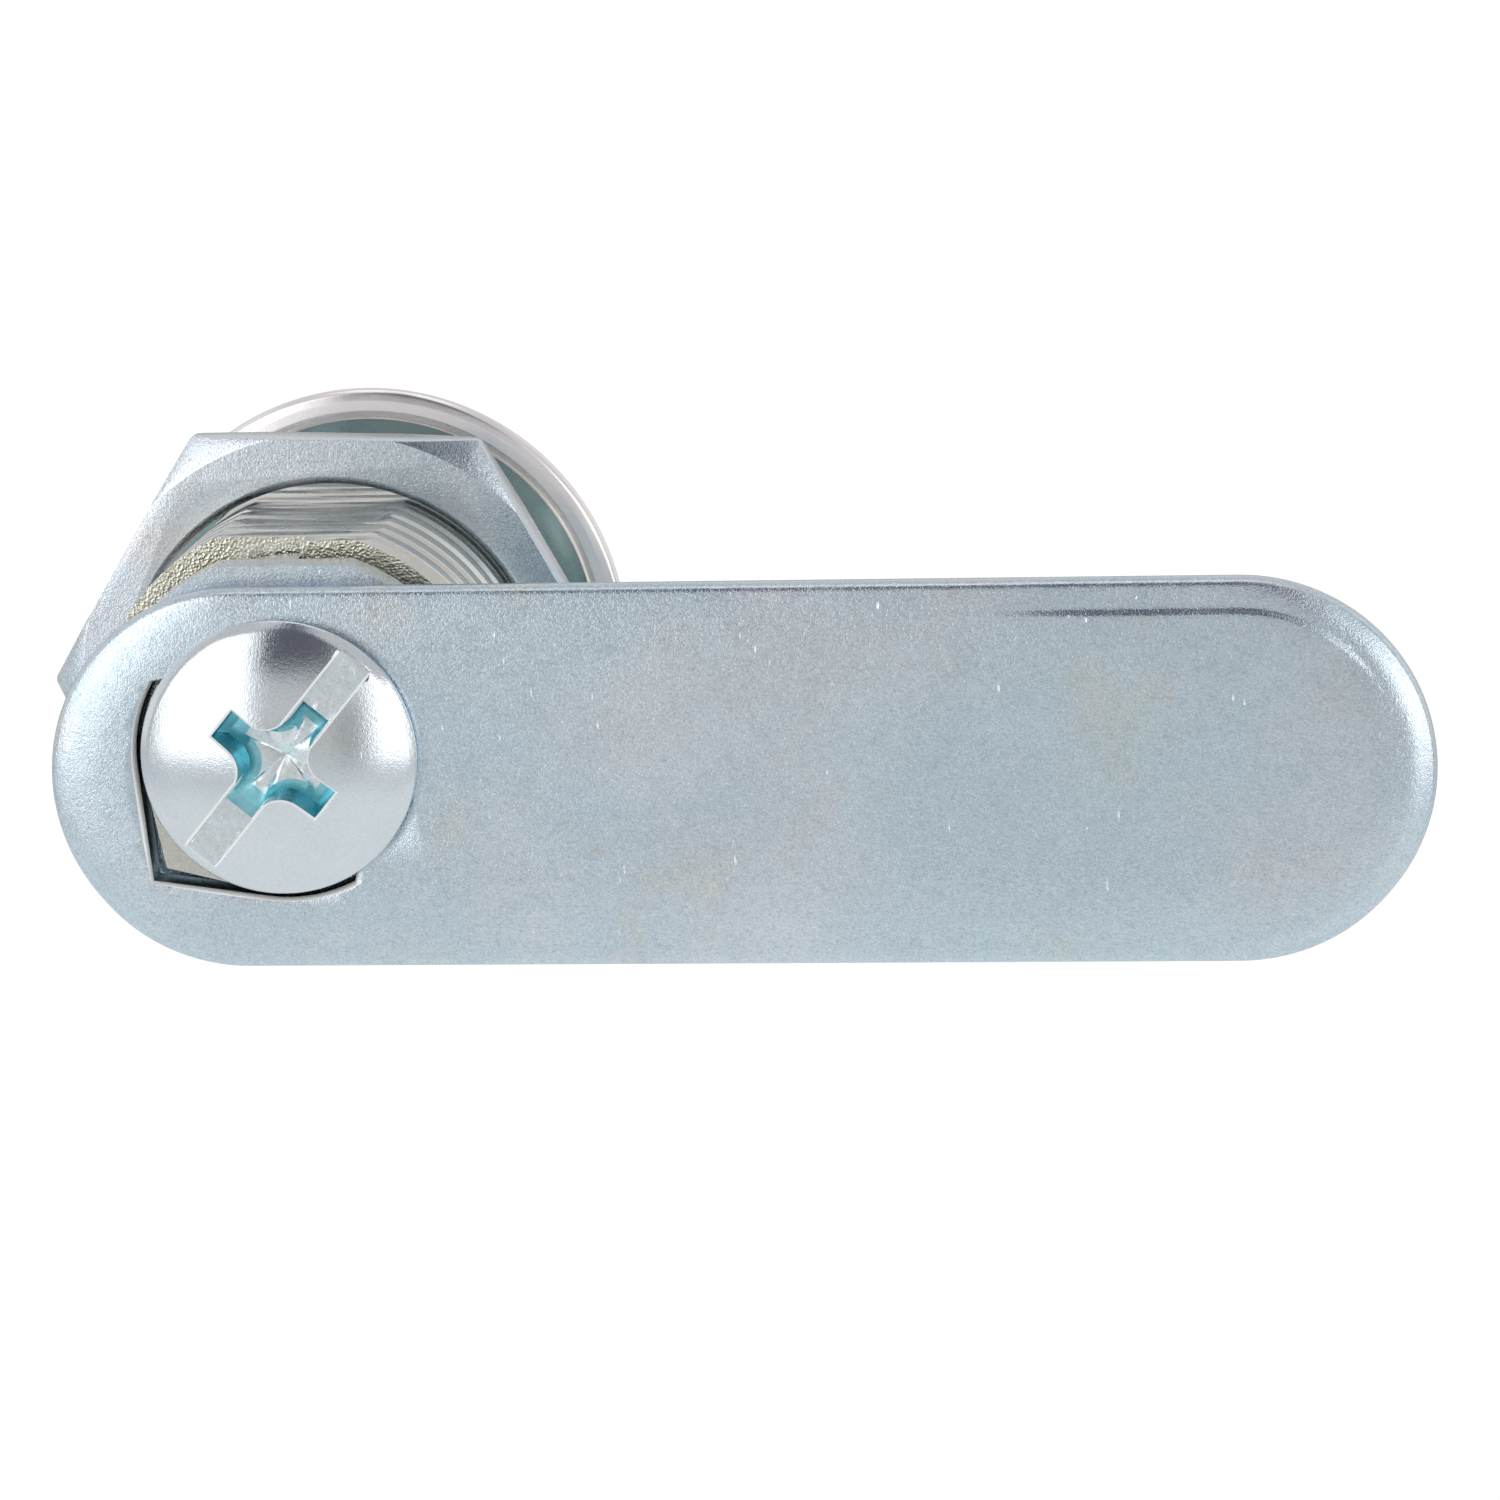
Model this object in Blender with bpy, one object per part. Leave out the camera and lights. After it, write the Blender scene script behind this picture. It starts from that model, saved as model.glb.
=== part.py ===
"""Wafer cam lock: housing, crimped cap, plug with seven sprung wafers, stop washer, cam, screw and nut.

Row frame: +Y runs along the lock's axis from the key face to the cam, +Z is up, and the cam points to -X.
The origin is on the axis, at the closed end of the keyway, where the key's tip stops.

Every Y below is measured from the panel seat, the plane where the head's rim meets the panel, because that is
how such a lock is dimensioned. One empty on the axis, lock_seat, carries all pieces into the row frame.
"""

import math

import bmesh
import bpy
from mathutils import Vector

MM = 0.001
ROUND_SEGMENTS = 48
CLEARANCE = 0.15 * MM

# Housing
THREAD_RADIUS = 8.85 * MM
FLAT_DISTANCE = 8.15 * MM
BARREL_END_Y = 20.0 * MM
BARREL_CHAMFER = 0.6 * MM
HEAD_REAR_Y = -0.6 * MM
FLATS_START_Y = 0.2 * MM
BORE_RADIUS = 6.35 * MM
COUNTERBORE_RADIUS = 7.35 * MM
COUNTERBORE_FLOOR_Y = -1.5 * MM
CHANNEL_HALF_WIDTH = 2.85 * MM
CHANNEL_REACH = 7.25 * MM
CHANNEL_START_Y = 0.7 * MM
CHANNEL_END_Y = 15.9 * MM

# Face cap, a thin domed shell crimped over the head; its outline runs from the rim to the hole in the face
CAP_RIM_RADIUS = 11.3 * MM
CAP_WALL = 0.45 * MM
CAP_FRONT_Y = -3.2 * MM
CAP_HOLE_RADIUS = 6.6 * MM
CAP_LIP_RADIUS = 10.6 * MM
CAP_LIP_THICKNESS = 0.4 * MM
CAP_OUTLINE = (
    (11.6 * MM, -0.3 * MM),
    (11.35 * MM, -1.2 * MM),
    (10.8 * MM, -2.1 * MM),
    (10.0 * MM, -2.8 * MM),
    (9.0 * MM, CAP_FRONT_Y),
    (CAP_HOLE_RADIUS, CAP_FRONT_Y),
)

# Plug
PLUG_RADIUS = 6.2 * MM
PLUG_FACE_RADIUS = 6.3 * MM
PLUG_FLANGE_RADIUS = 7.2 * MM
PLUG_SHOULDER_Y = 20.9 * MM
TAIL_END_Y = 24.7 * MM
KEYWAY_WIDTH = 2.2 * MM
KEYWAY_BOTTOM_Z = -3.3 * MM
KEYWAY_TOP_Z = 3.3 * MM
KEYWAY_END_Y = 17.4 * MM
SCREW_HOLE_RADIUS = 2.6 * MM
SCREW_HOLE_FLOOR_Y = 18.2 * MM

# Keyed hole of the cam, and the tail inside it, about the lock's axis
KEY_ARC_RADIUS = 6.15 * MM
KEY_SMALL_RADIUS = 4.9 * MM
KEY_CORNER_REACH = 7.85 * MM
KEY_CORNER_ANGLE = math.radians(223.5)
KEY_ARC_HALF_ANGLE = math.radians(74)
KEY_FIT = 0.25 * MM
TAIL_CORNER_REACH = 7.0 * MM

# Wafers and their springs
WAFER_COUNT = 7
FIRST_WAFER_Y = 1.6 * MM
WAFER_PITCH = 2.2 * MM
WAFER_THICKNESS = 1.0 * MM
WAFER_HALF_WIDTH = 2.55 * MM
WAFER_END_RADIUS = 6.05 * MM
WAFER_TRAVEL = 0.9 * MM
WAFER_SLOT_THICKNESS = 1.3 * MM
WAFER_SLOT_HALF_WIDTH = 2.75 * MM
WINDOW_HALF_WIDTH = 1.5 * MM
WINDOW_HALF_HEIGHT = 3.3 * MM
CODE_STEP = 0.3 * MM
WAFER_CODE = (1, 3, 2, 0, 2, 1, 3)
EAR_REACH = 4.4 * MM
EAR_BOTTOM_Z = -0.5 * MM
EAR_TOP_Z = 0.45 * MM
SPRING_X = 3.75 * MM
SPRING_RADIUS = 0.58 * MM
SPRING_WIRE_RADIUS = 0.15 * MM
SPRING_TURNS = 4
SPRING_BOTTOM_Z = 0.62 * MM
SPRING_TOP_Z = 3.55 * MM
SPRING_POCKET_RADIUS = 0.95 * MM
SPRING_POCKET_TOP_Z = 3.7 * MM

# Stop washer
WASHER_RADIUS = 8.1 * MM
WASHER_FLAT_DISTANCE = 7.6 * MM
WASHER_INNER_Y = 21.1 * MM
WASHER_OUTER_Y = 22.8 * MM
LUG_INNER_RADIUS = 6.6 * MM
LUG_OUTER_RADIUS = 7.5 * MM
LUG_ANGLE = math.radians(24)
LUG_END_Y = 19.2 * MM
STOP_EDGE_ANGLE = math.radians(93)
STOP_TRAVEL = math.radians(90)
STOP_PLAY = math.radians(0.5)
STOP_RECESS_DEPTH = 1.1 * MM

# Cam
CAM_INNER_Y = 23.0 * MM
CAM_OUTER_Y = 24.8 * MM
CAM_RADIUS = 8.05 * MM
CAM_DROP = 1.15 * MM
CAM_HUB_X = 1.9 * MM
CAM_TIP_X = -39.7 * MM
CAM_SPOT_RADIUS = 8.4 * MM
CAM_SPOT_DEPTH = 0.1 * MM

# Screw
SCREW_RADIUS = 2.45 * MM
SCREW_TIP_Y = 18.6 * MM
SCREW_HEAD_RADIUS = 5.8 * MM
SCREW_SEAT_Y = 25.0 * MM
SCREW_RIM_HEIGHT = 0.5 * MM
SCREW_DOME_HEIGHT = 1.6 * MM
SLOT_WIDTH = 1.5 * MM
SLOT_FLOOR_Y = 25.75 * MM
CROSS_WIDTH = 1.7 * MM
CROSS_SPAN = 5.2 * MM
CROSS_FLOOR_Y = 25.2 * MM
SLOT_ANGLE = math.radians(130)

# Nut
NUT_ACROSS_FLATS = 22.0 * MM
NUT_BORE_RADIUS = 9.05 * MM
NUT_INNER_Y = 8.8 * MM
NUT_OUTER_Y = 11.0 * MM
NUT_TURN = math.radians(1.7)

# Colours: base colour, metallic, roughness
ZINC_BLUE = ((0.62, 0.67, 0.70), 1.0, 0.32)
ZINC_CAST = ((0.66, 0.64, 0.58), 1.0, 0.38)
CHROME = ((0.80, 0.79, 0.79), 1.0, 0.12)
SCREW_BRIGHT = ((0.82, 0.83, 0.86), 1.0, 0.14)
WAFER_BRASS = ((0.80, 0.62, 0.32), 1.0, 0.30)
SPRING_STEEL = ((0.55, 0.55, 0.56), 1.0, 0.28)


def clear_scene():
    for scene_object in list(bpy.data.objects):
        bpy.data.objects.remove(scene_object, do_unlink=True)


def add_lock_seat():
    """The empty that every piece and cutter hangs on: the panel seat's centre, on the lock's axis."""
    seat = bpy.data.objects.new("lock_seat", None)
    seat.location = (0, -KEYWAY_END_Y, 0)
    bpy.context.scene.collection.objects.link(seat)


def material(name, finish):
    colour, metallic, roughness = finish
    made = bpy.data.materials.new(name)
    made.use_nodes = True
    shader = made.node_tree.nodes["Principled BSDF"]
    shader.inputs["Base Color"].default_value = (*colour, 1.0)
    shader.inputs["Metallic"].default_value = metallic
    shader.inputs["Roughness"].default_value = roughness
    return made


def object_from_bmesh(name, bm, finish=None):
    """A linked object from a closed bmesh; with no finish it is a cutter that isn't rendered."""
    bmesh.ops.recalc_face_normals(bm, faces=bm.faces[:])
    mesh = bpy.data.meshes.new(name)
    bm.to_mesh(mesh)
    bm.free()
    made = bpy.data.objects.new(name, mesh)
    bpy.context.scene.collection.objects.link(made)
    made.parent = bpy.data.objects["lock_seat"]
    if finish is None:
        made.hide_render = True
        made.display_type = "WIRE"
    else:
        mesh.materials.append(material(name, finish))
        mesh.shade_smooth()
        mesh.set_sharp_from_angle(angle=math.radians(30))
    return made


def add_prism(bm, outline, y_low, y_high):
    """Adds a closed outline of (x, z) points, extruded along Y."""
    low = [bm.verts.new((x, y_low, z)) for x, z in outline]
    high = [bm.verts.new((x, y_high, z)) for x, z in outline]
    bm.faces.new(low)
    bm.faces.new(list(reversed(high)))
    count = len(outline)
    for i in range(count):
        j = (i + 1) % count
        bm.faces.new((low[i], high[i], high[j], low[j]))


def prism(name, outline, y_low, y_high, finish=None):
    bm = bmesh.new()
    add_prism(bm, outline, y_low, y_high)
    return object_from_bmesh(name, bm, finish)


def turned(name, profile, finish=None, segments=ROUND_SEGMENTS):
    """A closed (radius, y) profile turned about the Y axis; points on the axis become poles."""
    bm = bmesh.new()
    rings = []
    for radius, y in profile:
        if radius == 0:
            rings.append([bm.verts.new((0, y, 0))] * segments)
            continue
        angles = [2 * math.pi * i / segments for i in range(segments)]
        rings.append([bm.verts.new((radius * math.cos(a), y, radius * math.sin(a))) for a in angles])
    for k, ring in enumerate(rings):
        following = rings[(k + 1) % len(rings)]
        for i in range(segments):
            j = (i + 1) % segments
            corners = []
            for vert in (ring[i], ring[j], following[j], following[i]):
                if vert not in corners:
                    corners.append(vert)
            if len(corners) > 2:
                bm.faces.new(corners)
    return object_from_bmesh(name, bm, finish)


def round_bar(radius, y_low, y_high):
    """The turned profile of a plain round bar."""
    return [(0, y_low), (radius, y_low), (radius, y_high), (0, y_high)]


def rectangle(x_low, x_high, z_low, z_high):
    return [(x_low, z_low), (x_high, z_low), (x_high, z_high), (x_low, z_high)]


def arc(centre, radius, start, end, steps):
    """Points on an arc in the XZ plane, both ends included."""
    angles = [start + (end - start) * i / steps for i in range(steps + 1)]
    return [(centre[0] + radius * math.cos(a), centre[1] + radius * math.sin(a)) for a in angles]


def turned_outline(outline, angle):
    """The outline turned by angle about the Y axis, measured from +X towards +Z."""
    c, s = math.cos(angle), math.sin(angle)
    return [(x * c - z * s, x * s + z * c) for x, z in outline]


def cut(target, cutter, operation="DIFFERENCE"):
    boolean = target.modifiers.new(cutter.name, "BOOLEAN")
    boolean.operation = operation
    boolean.solver = "EXACT"
    boolean.object = cutter


def keyed_outline(corner_reach, inset):
    """Outline of the keyed tail and its holes, seen from +Y with +X to the left.

    A large arc with one pointed corner covers the side of the corner, and a smaller arc covers the other.
    The corner's two sides are tangent to the large arc. inset shrinks everything but the corner.
    """
    large = KEY_ARC_RADIUS - inset
    small = KEY_SMALL_RADIUS - inset
    tangent = math.acos(large / corner_reach)
    points = arc((0, 0), large, -KEY_ARC_HALF_ANGLE, -tangent, 6)
    points.append((corner_reach, 0.0))
    points += arc((0, 0), large, tangent, KEY_ARC_HALF_ANGLE, 6)
    step = math.radians(28)
    points += arc((0, 0), small, KEY_ARC_HALF_ANGLE + step, 2 * math.pi - KEY_ARC_HALF_ANGLE - step, 20)
    turned_points = turned_outline(points, KEY_CORNER_ANGLE)
    return [(-x, z) for x, z in turned_points]


def shell_outline(depth, start_y):
    """The cap's outline, rim first, moved inwards by depth and cut off at start_y."""
    points = []
    for k, (radius, y) in enumerate(CAP_OUTLINE):
        normals = []
        for first, second in ((k - 1, k), (k, k + 1)):
            if first >= 0 and second < len(CAP_OUTLINE):
                step = Vector(CAP_OUTLINE[second]) - Vector(CAP_OUTLINE[first])
                normals.append(Vector((step.y, -step.x)).normalized())
        middle = sum(normals, Vector((0, 0))).normalized()
        points.append(Vector((radius, y)) + middle * depth / middle.dot(normals[0]))
    first, second = points[0], points[1]
    share = (start_y - first.y) / (second.y - first.y)
    points[0] = first + (second - first) * share
    return [(point.x, point.y) for point in points]


def build_housing():
    head = shell_outline(CAP_WALL + CLEARANCE, HEAD_REAR_Y)[:-1]
    profile = [
        (COUNTERBORE_RADIUS, head[-1][1]),
        *reversed(head),
        (THREAD_RADIUS, HEAD_REAR_Y),
        (THREAD_RADIUS, BARREL_END_Y - BARREL_CHAMFER),
        (THREAD_RADIUS - BARREL_CHAMFER, BARREL_END_Y),
        (BORE_RADIUS, BARREL_END_Y),
        (BORE_RADIUS, COUNTERBORE_FLOOR_Y),
        (COUNTERBORE_RADIUS, COUNTERBORE_FLOOR_Y),
    ]
    housing = turned("housing", profile, ZINC_CAST)
    far = 2 * THREAD_RADIUS
    bm = bmesh.new()
    for side in (-1, 1):
        near_z, far_z = side * FLAT_DISTANCE, side * far
        add_prism(bm, rectangle(-far, far, near_z, far_z), FLATS_START_Y, BARREL_END_Y + MM)
    cut(housing, object_from_bmesh("flats_cutter", bm))
    w, reach = CHANNEL_HALF_WIDTH, CHANNEL_REACH
    cross = [(reach, -w), (reach, w), (w, w), (w, reach), (-w, reach), (-w, w)]
    cross += [(-x, -z) for x, z in cross]
    cut(housing, prism("channel_cutter", cross, CHANNEL_START_Y, CHANNEL_END_Y))
    low = STOP_EDGE_ANGLE - STOP_TRAVEL - LUG_ANGLE - 2 * STOP_PLAY
    sector = arc((0, 0), far, low, STOP_EDGE_ANGLE, 12)
    sector += arc((0, 0), PLUG_RADIUS - MM, STOP_EDGE_ANGLE, low, 12)
    recess_floor = BARREL_END_Y - STOP_RECESS_DEPTH
    cut(housing, prism("stop_recess_cutter", sector, recess_floor, BARREL_END_Y + MM))
    return housing


def build_face_cap():
    lip_y = -CAP_LIP_THICKNESS
    profile = [
        *reversed(CAP_OUTLINE),
        (CAP_RIM_RADIUS, 0.0),
        (CAP_LIP_RADIUS, 0.0),
        (CAP_LIP_RADIUS, lip_y),
        *shell_outline(CAP_WALL, lip_y),
    ]
    return turned("face_cap", profile, CHROME)


def wafer_y(index):
    return FIRST_WAFER_Y + index * WAFER_PITCH


def ear_side(index):
    """Ears alternate, so that neighbouring springs don't touch."""
    return 1 if index % 2 == 0 else -1


def build_plug():
    flange_front = CAP_FRONT_Y + CAP_WALL + CLEARANCE
    flange_rear = COUNTERBORE_FLOOR_Y - CLEARANCE
    profile = [
        (0, CAP_FRONT_Y),
        (PLUG_FACE_RADIUS - 0.2 * MM, CAP_FRONT_Y),
        (PLUG_FACE_RADIUS, CAP_FRONT_Y + 0.2 * MM),
        (PLUG_FACE_RADIUS, flange_front),
        (PLUG_FLANGE_RADIUS, flange_front),
        (PLUG_FLANGE_RADIUS, flange_rear),
        (PLUG_RADIUS, flange_rear),
        (PLUG_RADIUS, PLUG_SHOULDER_Y),
        (0, PLUG_SHOULDER_Y),
    ]
    plug = turned("plug", profile, ZINC_CAST)
    tail_outline = keyed_outline(TAIL_CORNER_REACH, KEY_FIT)
    cut(plug, prism("tail_joiner", tail_outline, PLUG_SHOULDER_Y - 0.4 * MM, TAIL_END_Y), "UNION")
    half = KEYWAY_WIDTH / 2
    keyway = rectangle(-half, half, KEYWAY_BOTTOM_Z, KEYWAY_TOP_Z)
    cut(plug, prism("keyway_cutter", keyway, CAP_FRONT_Y - MM, KEYWAY_END_Y))
    slots, ears, pockets = bmesh.new(), bmesh.new(), bmesh.new()
    slot_half = WAFER_SLOT_THICKNESS / 2
    ear_floor = EAR_BOTTOM_Z - WAFER_TRAVEL - 2 * CLEARANCE
    for index in range(WAFER_COUNT):
        y, side = wafer_y(index), ear_side(index)
        half_width, reach = WAFER_SLOT_HALF_WIDTH, PLUG_RADIUS + MM
        full = rectangle(-half_width, half_width, -reach, reach)
        add_prism(slots, full, y - slot_half, y + slot_half)
        ear = rectangle(side * MM, side * (EAR_REACH + CLEARANCE), ear_floor, EAR_TOP_Z + CLEARANCE)
        add_prism(ears, ear, y - slot_half, y + slot_half)
        pocket_bottom = EAR_TOP_Z - 0.1 * MM
        add_cylinder_z(pockets, side * SPRING_X, y, SPRING_POCKET_RADIUS, pocket_bottom, SPRING_POCKET_TOP_Z)
    cut(plug, object_from_bmesh("wafer_slot_cutter", slots))
    cut(plug, object_from_bmesh("ear_slot_cutter", ears))
    cut(plug, object_from_bmesh("spring_pocket_cutter", pockets))
    hole = round_bar(SCREW_HOLE_RADIUS, SCREW_HOLE_FLOOR_Y, TAIL_END_Y + MM)
    cut(plug, turned("screw_hole_cutter", hole, segments=24))
    return plug


def add_cylinder_z(bm, x, y, radius, z_low, z_high, segments=12):
    angles = [2 * math.pi * i / segments for i in range(segments)]
    low = [bm.verts.new((x + radius * math.cos(a), y + radius * math.sin(a), z_low)) for a in angles]
    high = [bm.verts.new((x + radius * math.cos(a), y + radius * math.sin(a), z_high)) for a in angles]
    bm.faces.new(list(reversed(low)))
    bm.faces.new(high)
    for i in range(segments):
        j = (i + 1) % segments
        bm.faces.new((low[i], low[j], high[j], high[i]))


def build_wafer(index):
    """A plate with round ends, an ear on one side and a window at its own height for the key."""
    half_angle = math.asin(WAFER_HALF_WIDTH / WAFER_END_RADIUS)
    top = arc((0, 0), WAFER_END_RADIUS, math.pi / 2 - half_angle, math.pi / 2 + half_angle, 8)
    bottom = arc((0, 0), WAFER_END_RADIUS, -math.pi / 2 - half_angle, -math.pi / 2 + half_angle, 8)
    ear = rectangle(WAFER_HALF_WIDTH, EAR_REACH, EAR_BOTTOM_Z, EAR_TOP_Z)
    side = ear_side(index)
    outline = [(side * x, z) for x, z in top + bottom + ear]
    y, half = wafer_y(index), WAFER_THICKNESS / 2
    wafer = prism(f"wafer_{index + 1}", outline, y - half, y + half, WAFER_BRASS)
    middle = (WAFER_CODE[index] - 1.5) * CODE_STEP
    half_width, half_height = WINDOW_HALF_WIDTH, WINDOW_HALF_HEIGHT
    window = rectangle(-half_width, half_width, middle - half_height, middle + half_height)
    cut(wafer, prism(f"window_cutter_{index + 1}", window, y - WAFER_THICKNESS, y + WAFER_THICKNESS))
    return wafer


def build_wafer_spring(index, steps_per_turn=8, wire_sides=5):
    """A coil of round wire about a line along Z, over the wafer's ear."""
    centre = Vector((ear_side(index) * SPRING_X, wafer_y(index), 0))
    wire, count = SPRING_WIRE_RADIUS, SPRING_TURNS * steps_per_turn
    low, high = SPRING_BOTTOM_Z + wire, SPRING_TOP_Z - wire
    bm = bmesh.new()
    rings = []
    for i in range(count + 1):
        a = 2 * math.pi * i / steps_per_turn
        outward = Vector((math.cos(a), math.sin(a), 0))
        middle = centre + SPRING_RADIUS * outward + Vector((0, 0, low + (high - low) * i / count))
        ring = []
        for k in range(wire_sides):
            b = 2 * math.pi * k / wire_sides
            across = math.cos(b) * outward + math.sin(b) * Vector((0, 0, 1))
            ring.append(bm.verts.new(middle + wire * across))
        rings.append(ring)
    for first, second in zip(rings, rings[1:]):
        for k in range(wire_sides):
            j = (k + 1) % wire_sides
            bm.faces.new((first[k], second[k], second[j], first[j]))
    bm.faces.new(rings[0])
    bm.faces.new(list(reversed(rings[-1])))
    return object_from_bmesh(f"wafer_spring_{index + 1}", bm, SPRING_STEEL)


def build_stop_washer():
    """A disc with two flats, a keyed hole and a lug that runs in the housing's stop recess."""
    half_angle = math.asin(WASHER_FLAT_DISTANCE / WASHER_RADIUS)
    outline = arc((0, 0), WASHER_RADIUS, -half_angle, half_angle, 20)
    outline += arc((0, 0), WASHER_RADIUS, math.pi - half_angle, math.pi + half_angle, 20)
    washer = prism("stop_washer", outline, WASHER_INNER_Y, WASHER_OUTER_Y, ZINC_BLUE)
    start = STOP_EDGE_ANGLE - STOP_PLAY
    lug = arc((0, 0), LUG_OUTER_RADIUS, start - LUG_ANGLE, start, 5)
    lug += arc((0, 0), LUG_INNER_RADIUS, start, start - LUG_ANGLE, 5)
    cut(washer, prism("lug_joiner", lug, LUG_END_Y, (WASHER_INNER_Y + WASHER_OUTER_Y) / 2), "UNION")
    hole = keyed_outline(TAIL_CORNER_REACH + KEY_FIT, 0)
    cut(washer, prism("washer_hole_cutter", hole, LUG_END_Y - MM, WASHER_OUTER_Y + MM))
    return washer


def build_cam():
    """A bar with full-round ends, a middle line below the lock's axis and a coined spot for the washer."""
    hub, tip = (CAM_HUB_X, -CAM_DROP), (CAM_TIP_X, -CAM_DROP)
    outline = arc(hub, CAM_RADIUS, -math.pi / 2, math.pi / 2, 24)
    outline += arc(tip, CAM_RADIUS, math.pi / 2, 3 * math.pi / 2, 24)
    cam = prism("cam", outline, CAM_INNER_Y, CAM_OUTER_Y, ZINC_BLUE)
    spot = arc((0, 0), CAM_SPOT_RADIUS, 0, 2 * math.pi, ROUND_SEGMENTS)[:-1]
    cut(cam, prism("washer_spot_cutter", spot, CAM_INNER_Y - MM, CAM_INNER_Y + CAM_SPOT_DEPTH))
    hole = keyed_outline(KEY_CORNER_REACH, 0)
    cut(cam, prism("cam_hole_cutter", hole, CAM_INNER_Y - MM, CAM_OUTER_Y + MM))
    return cam


def build_cam_screw():
    """Shank and domed head, with a slot across the head and a deeper cross in its middle."""
    rim_y = SCREW_SEAT_Y + SCREW_RIM_HEIGHT
    sphere = (SCREW_HEAD_RADIUS**2 + SCREW_DOME_HEIGHT**2) / (2 * SCREW_DOME_HEIGHT)
    chamfer = 0.4 * MM
    profile = [
        (0, SCREW_TIP_Y),
        (SCREW_RADIUS - chamfer, SCREW_TIP_Y),
        (SCREW_RADIUS, SCREW_TIP_Y + chamfer),
        (SCREW_RADIUS, SCREW_SEAT_Y),
        (SCREW_HEAD_RADIUS - 0.1 * MM, SCREW_SEAT_Y),
    ]
    steps = 6
    for i in range(steps + 1):
        radius = SCREW_HEAD_RADIUS * (steps - i) / steps
        drop = sphere - math.sqrt(sphere**2 - radius**2)
        profile.append((radius, rim_y + SCREW_DOME_HEIGHT - drop))
    screw = turned("cam_screw", profile, SCREW_BRIGHT, segments=48)
    top = rim_y + SCREW_DOME_HEIGHT + MM
    reach, half = 2 * SCREW_HEAD_RADIUS, SLOT_WIDTH / 2
    slot = turned_outline(rectangle(-reach, reach, -half, half), SLOT_ANGLE)
    cut(screw, prism("slot_cutter", slot, SLOT_FLOOR_Y, top))
    arm, half = CROSS_SPAN / 2, CROSS_WIDTH / 2
    cross = [(arm, -half), (arm, half), (half, half), (half, arm), (-half, arm), (-half, half)]
    cross += [(-x, -z) for x, z in cross]
    cut(screw, prism("cross_cutter", turned_outline(cross, SLOT_ANGLE), CROSS_FLOOR_Y, top))
    return screw


def build_hex_nut():
    """A thin hexagon with its corners chamfered on both faces, and a bore with room for the thread."""
    corner = NUT_ACROSS_FLATS / math.sqrt(3)
    outline = [(corner * math.cos(a), corner * math.sin(a)) for a in [math.pi / 3 * i for i in range(6)]]
    nut = prism("hex_nut", turned_outline(outline, NUT_TURN), NUT_INNER_Y, NUT_OUTER_Y, ZINC_BLUE)
    edge = NUT_ACROSS_FLATS / 2
    drop = (corner - edge) * math.tan(math.radians(30))
    envelope = [
        (0, NUT_INNER_Y - 0.01 * MM),
        (edge, NUT_INNER_Y - 0.01 * MM),
        (corner + 0.3 * MM, NUT_INNER_Y + drop),
        (corner + 0.3 * MM, NUT_OUTER_Y - drop),
        (edge, NUT_OUTER_Y + 0.01 * MM),
        (0, NUT_OUTER_Y + 0.01 * MM),
    ]
    cut(nut, turned("nut_envelope", envelope), "INTERSECT")
    cut(nut, turned("nut_bore_cutter", round_bar(NUT_BORE_RADIUS, NUT_INNER_Y - MM, NUT_OUTER_Y + MM)))
    return nut


def main():
    clear_scene()
    add_lock_seat()
    build_housing()
    build_face_cap()
    build_plug()
    for index in range(WAFER_COUNT):
        build_wafer(index)
        build_wafer_spring(index)
    build_stop_washer()
    build_cam()
    build_cam_screw()
    build_hex_nut()


main()
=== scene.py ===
"""The looks of the cam lock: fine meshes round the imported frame, metals, a white studio and a camera.

Every y in this file is in millimetres from the panel seat, and row_y() turns it into the row frame.
Angles about the lock's axis are measured from +X towards +Z.
"""

import math

import bmesh
import bpy
from mathutils import Matrix, Vector


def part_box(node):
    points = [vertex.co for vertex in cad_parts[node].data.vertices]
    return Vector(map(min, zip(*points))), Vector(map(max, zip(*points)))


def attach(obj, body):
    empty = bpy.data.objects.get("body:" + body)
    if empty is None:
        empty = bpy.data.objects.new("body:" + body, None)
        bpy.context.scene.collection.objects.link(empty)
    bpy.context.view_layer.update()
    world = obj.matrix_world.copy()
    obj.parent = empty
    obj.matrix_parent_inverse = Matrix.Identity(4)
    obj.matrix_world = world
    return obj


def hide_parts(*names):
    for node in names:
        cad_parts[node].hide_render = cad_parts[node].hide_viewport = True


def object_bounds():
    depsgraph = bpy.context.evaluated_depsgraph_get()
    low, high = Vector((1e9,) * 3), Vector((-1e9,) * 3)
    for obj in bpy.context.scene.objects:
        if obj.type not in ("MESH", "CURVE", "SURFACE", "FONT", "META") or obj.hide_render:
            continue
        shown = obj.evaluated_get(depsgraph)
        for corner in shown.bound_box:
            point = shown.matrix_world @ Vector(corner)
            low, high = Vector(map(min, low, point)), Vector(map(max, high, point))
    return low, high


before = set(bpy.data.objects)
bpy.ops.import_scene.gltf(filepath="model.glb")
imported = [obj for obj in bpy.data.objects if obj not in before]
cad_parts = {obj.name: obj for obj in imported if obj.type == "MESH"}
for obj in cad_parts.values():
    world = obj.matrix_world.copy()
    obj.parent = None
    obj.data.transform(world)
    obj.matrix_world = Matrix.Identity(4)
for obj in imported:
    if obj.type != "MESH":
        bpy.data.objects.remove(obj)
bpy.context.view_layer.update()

MM = 0.001
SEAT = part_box("face_cap")[1].y / MM
FINE = 144


def row_y(node, corner):
    """A node's lowest (0) or highest (1) y, in millimetres from the panel seat."""
    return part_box(node)[corner].y / MM - SEAT


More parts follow.
